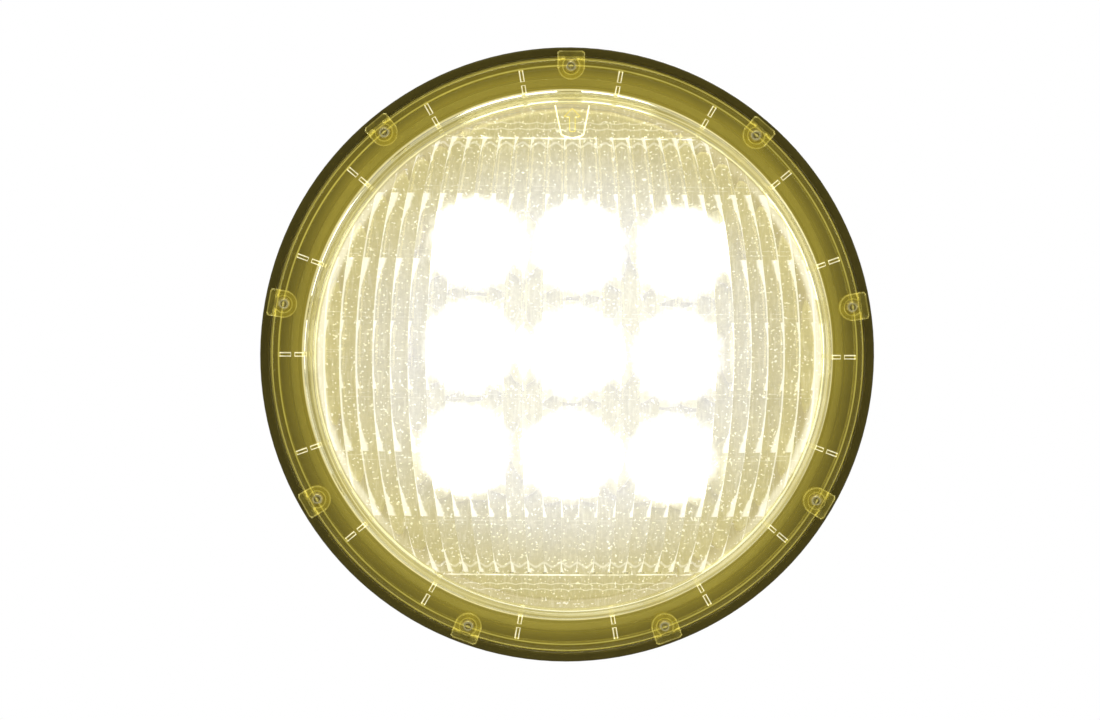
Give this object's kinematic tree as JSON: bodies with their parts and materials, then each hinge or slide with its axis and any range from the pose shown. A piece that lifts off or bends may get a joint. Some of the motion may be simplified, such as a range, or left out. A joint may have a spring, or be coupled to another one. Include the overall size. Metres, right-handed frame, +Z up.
{
  "type": "underwater pool light",
  "caption": "Round sealed LED lamp for an underwater pool niche: ribbed clear front clamped by screws to a bowl-shaped housing with screw terminals at the rear.",
  "frame": {"origin": "centre of the rim's rear face, the plane that rests on the niche's seat", "axes": "+Y along the lamp's axis towards the terminals (the lens faces -Y), +Z up by the arrow on the lens, +X to the right as seen from the front"},
  "size_m": [0.178, 0.11, 0.178],
  "materials": {
    "clear_cover": "clear yellow-tinted, moulded, polished",
    "silicone": "soft moulded",
    "housing_plastic": "dark olive, semi-gloss, moulded",
    "screw_steel": "stainless, turned",
    "board_white": "white solder mask on an aluminium core",
    "aluminium": "extruded",
    "emitter": "clear dome over phosphor",
    "reflector": "metallised",
    "tray_white": "moulded",
    "driver_green": "solder mask on glass-fibre board",
    "brass": "turned",
    "capacitor_sleeve": "shrunk sleeve",
    "winding_copper": "enamelled copper wire",
    "component_black": "moulded epoxy",
    "wire_red": "insulated wire",
    "wire_black": "insulated wire",
    "clamp_steel": "plated, stamped",
    "seal_rubber": "moulded"
  },
  "bodies": {
    "lamp": {"front_lens": "clear_cover", "seal_ring": "silicone", "rear_housing": "housing_plastic", "led_board": "board_white", "heat_sink": "aluminium", "reflector_tray": "tray_white", "driver_board": "driver_green", "capacitor_large": "capacitor_sleeve", "capacitor_small": "capacitor_sleeve", "inductor": "winding_copper", "rectifier": "component_black", "controller_chip": "component_black", "flange_screw_1": "screw_steel", "flange_screw_2": "screw_steel", "flange_screw_3": "screw_steel", "flange_screw_4": "screw_steel", "flange_screw_5": "screw_steel", "flange_screw_6": "screw_steel", "flange_screw_7": "screw_steel", "flange_screw_8": "screw_steel", "flange_screw_9": "screw_steel", "board_screw_1": "screw_steel", "driver_standoff_1": "brass", "board_screw_2": "screw_steel", "driver_standoff_2": "brass", "board_screw_3": "screw_steel", "driver_standoff_3": "brass", "board_screw_4": "screw_steel", "driver_standoff_4": "brass", "emitter_row1_1": "emitter", "reflector_cup_row1_1": "reflector", "emitter_row1_2": "emitter", "reflector_cup_row1_2": "reflector", "emitter_row1_3": "emitter", "reflector_cup_row1_3": "reflector", "emitter_row2_1": "emitter", "reflector_cup_row2_1": "reflector", "emitter_row2_2": "emitter", "reflector_cup_row2_2": "reflector", "emitter_row2_3": "emitter", "reflector_cup_row2_3": "reflector", "emitter_row3_1": "emitter", "reflector_cup_row3_1": "reflector", "emitter_row3_2": "emitter", "reflector_cup_row3_2": "reflector", "emitter_row3_3": "emitter", "reflector_cup_row3_3": "reflector", "supply_wire_a": "wire_red", "led_wire_a": "wire_red", "terminal_post_a": "brass", "post_seal_a": "seal_rubber", "supply_wire_b": "wire_black", "led_wire_b": "wire_black", "terminal_post_b": "brass", "post_seal_b": "seal_rubber"},
    "clamp_a": {"clamp_plate_a": "clamp_steel"},
    "screw_a": {"terminal_screw_a": "brass"},
    "clamp_b": {"clamp_plate_b": "clamp_steel"},
    "screw_b": {"terminal_screw_b": "brass"}
  },
  "joints": [
    {"name": "terminal_a_clamp_lift", "type": "slide", "parent": "lamp", "child": "clamp_a", "axis": [0, 1, 0], "range_m": [0, 0.0028]},
    {"name": "terminal_a_screw_turn", "type": "hinge", "parent": "clamp_a", "child": "screw_a", "pos_m": [-0.012, 0.0703, 0], "axis": [0, 1, 0], "range_deg": [0, 1440]},
    {"name": "terminal_b_clamp_lift", "type": "slide", "parent": "lamp", "child": "clamp_b", "axis": [0, 1, 0], "range_m": [0, 0.0028]},
    {"name": "terminal_b_screw_turn", "type": "hinge", "parent": "clamp_b", "child": "screw_b", "pos_m": [0.012, 0.0703, 0], "axis": [0, 1, 0], "range_deg": [0, 1440]}
  ],
  "couplings": [
    {"joint": "terminal_a_screw_turn", "follows": "terminal_a_clamp_lift", "rad_per_m": 8976},
    {"joint": "terminal_b_screw_turn", "follows": "terminal_b_clamp_lift", "rad_per_m": 8976}
  ]
}
